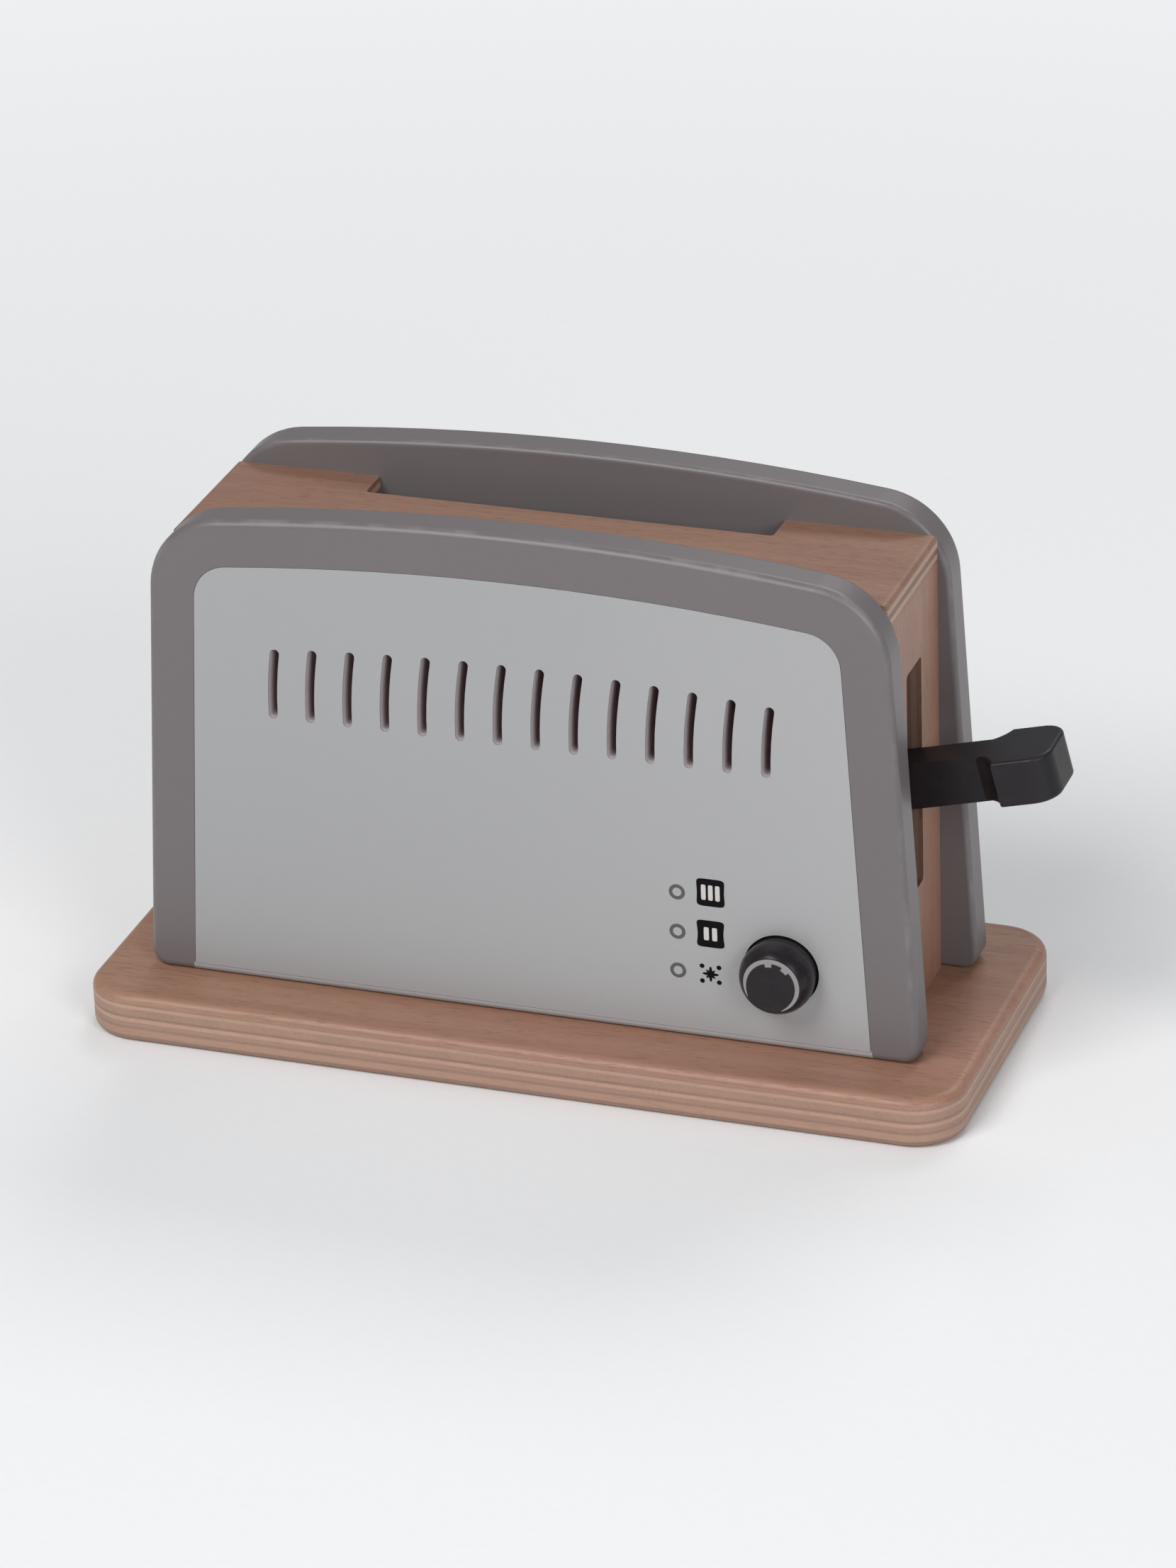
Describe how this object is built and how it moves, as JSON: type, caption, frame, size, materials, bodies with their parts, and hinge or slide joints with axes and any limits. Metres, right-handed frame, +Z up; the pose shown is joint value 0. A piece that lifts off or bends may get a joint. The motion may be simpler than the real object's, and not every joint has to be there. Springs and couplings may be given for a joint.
{
  "type": "toy toaster",
  "caption": "Wooden pop-up toy toaster: arched side panels on a base board, a side lever that lifts the toast shelf, a rear bread slot and a sprung push button that frees the lever.",
  "frame": {"origin": "centre of the base board's underside, on the surface the toaster stands on", "axes": "+Z up; +X along the base towards the lever; the front with the button faces -Y"},
  "size_m": [0.2029, 0.081, 0.1187],
  "materials": {
    "beech_ply": "clear satin varnish on beech plywood",
    "plain_beech": "sanded beech",
    "grey_paint": "satin grey paint on plywood",
    "silver_sheet": "satin silver",
    "black_lacquer": "satin black lacquer on beech",
    "black_gloss": "glossy black",
    "white_nylon": "plain",
    "steel": "bright zinc",
    "brake_rubber": "matte"
  },
  "bodies": {
    "toaster": {"base_board": "beech_ply", "base_screws": "steel", "front_side_panel": "grey_paint", "front_face_sheet": "silver_sheet", "rear_side_panel": "grey_paint", "left_end_wall": "beech_ply", "right_end_wall": "beech_ply", "top_board": "beech_ply", "toast_guide_board": "plain_beech", "panel_dowels": "plain_beech", "top_dowels": "plain_beech", "pivot_dowel": "plain_beech", "front_pivot_spacer": "white_nylon", "rear_pivot_spacer": "white_nylon", "spring_peg": "plain_beech", "lift_spring": "steel", "button_spring": "steel", "brake_block": "plain_beech"},
    "lever_body": {"lever": "black_lacquer", "toast_shelf": "plain_beech", "shelf_pins": "plain_beech", "brake_tongue": "steel", "tongue_rivets": "steel", "spring_seat": "plain_beech"},
    "button_body": {"button_knob": "black_gloss", "button_stem": "plain_beech", "stop_collar": "white_nylon", "brake_bar": "plain_beech", "brake_pad": "brake_rubber"}
  },
  "joints": [
    {"name": "lever_hinge", "type": "hinge", "parent": "toaster", "child": "lever_body", "pos_m": [-0.01, 0, 0.0413], "axis": [0, -1, 0], "range_deg": [-12.5, 11], "stiffness_Nm_per_rad": 1.2, "springref_deg": 0.34, "deforming": ["lift_spring"]},
    {"name": "button_push", "type": "slide", "parent": "toaster", "child": "button_body", "axis": [0, 1, 0], "range_m": [0, 0.0042], "stiffness_N_per_m": 500, "springref_m": -0.001, "deforming": ["button_spring"]}
  ]
}
